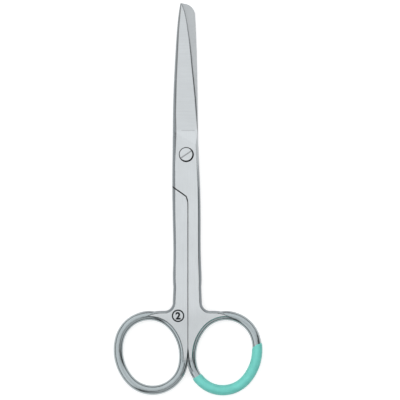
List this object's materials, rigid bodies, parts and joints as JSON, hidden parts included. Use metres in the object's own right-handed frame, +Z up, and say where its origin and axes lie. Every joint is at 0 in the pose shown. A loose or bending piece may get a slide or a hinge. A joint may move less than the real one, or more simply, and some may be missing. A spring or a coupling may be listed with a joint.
{
  "type": "surgical scissors",
  "caption": "Straight operating scissors, closed: a sharp and a blunt blade on a slotted screw joint, flat shanks, oval finger rings, the right one part dipped in teal plastic.",
  "frame": {"origin": "on the hinge axis, in the plane the scissors lie on", "axes": "+Y from the hinge to the tips, +Z up through the screw head, +X to the side of the coated ring"},
  "size_m": [0.055, 0.1452, 0.0042],
  "materials": {
    "steel": "satin",
    "screw_steel": "satin",
    "teal_dip": "soft satin"
  },
  "bodies": {
    "lower_scissor_half": {"blunt_half": "steel", "joint_screw": "screw_steel"},
    "upper_scissor_half": {"sharp_half": "steel", "ring_coating": "teal_dip"}
  },
  "joints": [
    {"name": "scissor_pivot", "type": "hinge", "parent": "lower_scissor_half", "child": "upper_scissor_half", "pos_m": [0, 0, 0], "axis": [0, 0, 1], "range_deg": [0, 130]}
  ]
}
